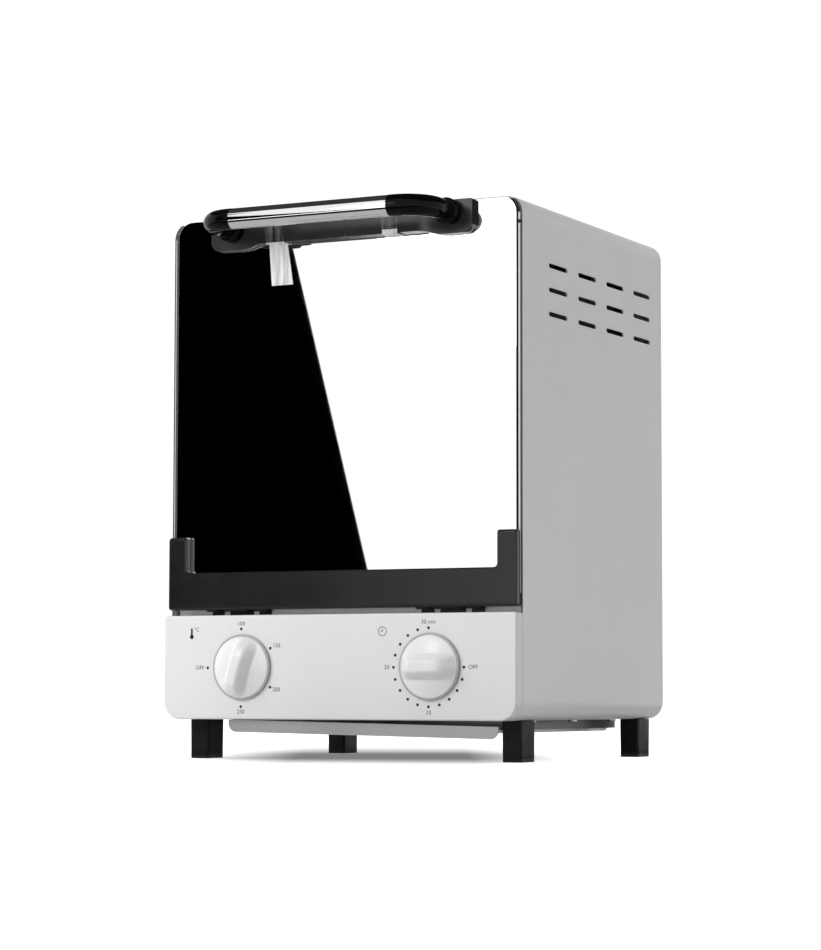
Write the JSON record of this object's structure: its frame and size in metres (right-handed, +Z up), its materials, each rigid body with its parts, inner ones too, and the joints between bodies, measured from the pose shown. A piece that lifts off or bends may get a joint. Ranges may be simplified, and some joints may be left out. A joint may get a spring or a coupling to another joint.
{
  "type": "dry heat sterilizer",
  "caption": "Bench-top dry heat sterilizer with a drop-down mirrored door, bar handle, two rotary dials, sliding rack and slide-out crumb tray.",
  "frame": {"origin": "on the surface that the feet stand on, below the middle of the overall box", "axes": "+Z up; the door and dials face -Y; +X to the right as seen from the front"},
  "size_m": [0.244, 0.2735, 0.34],
  "materials": {
    "white_paint": "semi-gloss white enamel",
    "frame_metal": "light grey enamel",
    "liner_steel": "aluminised steel, matt",
    "plated_steel": "zinc plated",
    "tray_metal": "bright rolled sheet",
    "stainless": "brushed stainless",
    "chrome_wire": "bright chrome plate",
    "heater_tube": "heat-darkened steel",
    "ceramic": "unglazed ceramic",
    "screw_steel": "zinc plated",
    "black_rubber": "matt black",
    "foot_plastic": "moulded matt black",
    "mirror_glass": "mirror-coated tempered glass",
    "black_plastic": "satin black",
    "hinge_steel": "black finished steel",
    "plate_plastic": "satin dark grey",
    "elbow_plastic": "glossy black",
    "chrome": "polished chrome",
    "clear_tape": "thin clear film",
    "knob_plastic": "satin white",
    "timer_case": "zinc plated",
    "bell_metal": "brass-coloured plate"
  },
  "bodies": {
    "housing": {"outer_shell": "white_paint", "control_panel": "white_paint", "front_frame": "frame_metal", "chamber_liner": "liner_steel", "base_plate": "plated_steel", "back_panel": "white_paint", "right_rack_rail": "liner_steel", "left_rack_rail": "liner_steel", "lower_heating_tubes": "heater_tube", "upper_heating_tubes": "heater_tube", "heater_bushes": "ceramic", "back_screws": "screw_steel", "base_screws": "screw_steel", "foot_screws": "screw_steel", "cord_gland": "black_rubber", "terminal_block": "ceramic", "front_left_foot": "foot_plastic", "front_right_foot": "foot_plastic", "rear_left_foot": "foot_plastic", "rear_right_foot": "foot_plastic", "hinge_pins": "screw_steel", "left_hinge_bracket": "hinge_steel", "right_hinge_bracket": "hinge_steel", "left_tray_rail": "plated_steel", "right_tray_rail": "plated_steel", "thermostat_bracket": "plated_steel", "thermostat_body": "ceramic", "timer_plate": "plated_steel", "timer_body": "timer_case", "timer_bell": "bell_metal", "control_screws": "screw_steel", "door_catch": "black_rubber"},
    "door": {"door_glass": "mirror_glass", "door_inner_frame": "frame_metal", "hinge_strip": "black_plastic", "left_door_hinge_leaf": "hinge_steel", "right_door_hinge_leaf": "hinge_steel", "handle_plate": "plate_plastic", "left_handle_elbow": "elbow_plastic", "right_handle_elbow": "elbow_plastic", "handle_bar": "chrome", "handle_screws": "screw_steel", "left_tape_strip": "clear_tape", "right_tape_strip": "clear_tape"},
    "rack": {"wire_rack": "chrome_wire", "instrument_tray": "stainless"},
    "drip_tray": {"crumb_tray": "tray_metal"},
    "temperature_control": {"temperature_knob": "knob_plastic", "thermostat_shaft": "screw_steel"},
    "timer_control": {"timer_knob": "knob_plastic", "timer_shaft": "screw_steel"}
  },
  "joints": [
    {"name": "door_hinge", "type": "hinge", "parent": "housing", "child": "door", "pos_m": [0, -0.08965, 0.0952], "axis": [1, 0, 0], "range_deg": [0, 90]},
    {"name": "rack_slide", "type": "slide", "parent": "housing", "child": "rack", "axis": [0, -1, 0], "range_m": [0, 0.075]},
    {"name": "crumb_tray_slide", "type": "slide", "parent": "housing", "child": "drip_tray", "axis": [0, -1, 0], "range_m": [0, 0.15]},
    {"name": "temperature_dial", "type": "hinge", "parent": "housing", "child": "temperature_control", "pos_m": [-0.065, -0.09725, 0.057], "axis": [0, 1, 0], "range_deg": [-107, 163]},
    {"name": "timer_dial", "type": "hinge", "parent": "housing", "child": "timer_control", "pos_m": [0.065, -0.09725, 0.057], "axis": [0, 1, 0], "range_deg": [0, 270]}
  ],
  "couplings": [
    {"joint": "rack_slide", "follows": "door_hinge", "m_per_rad": 0.0477}
  ]
}
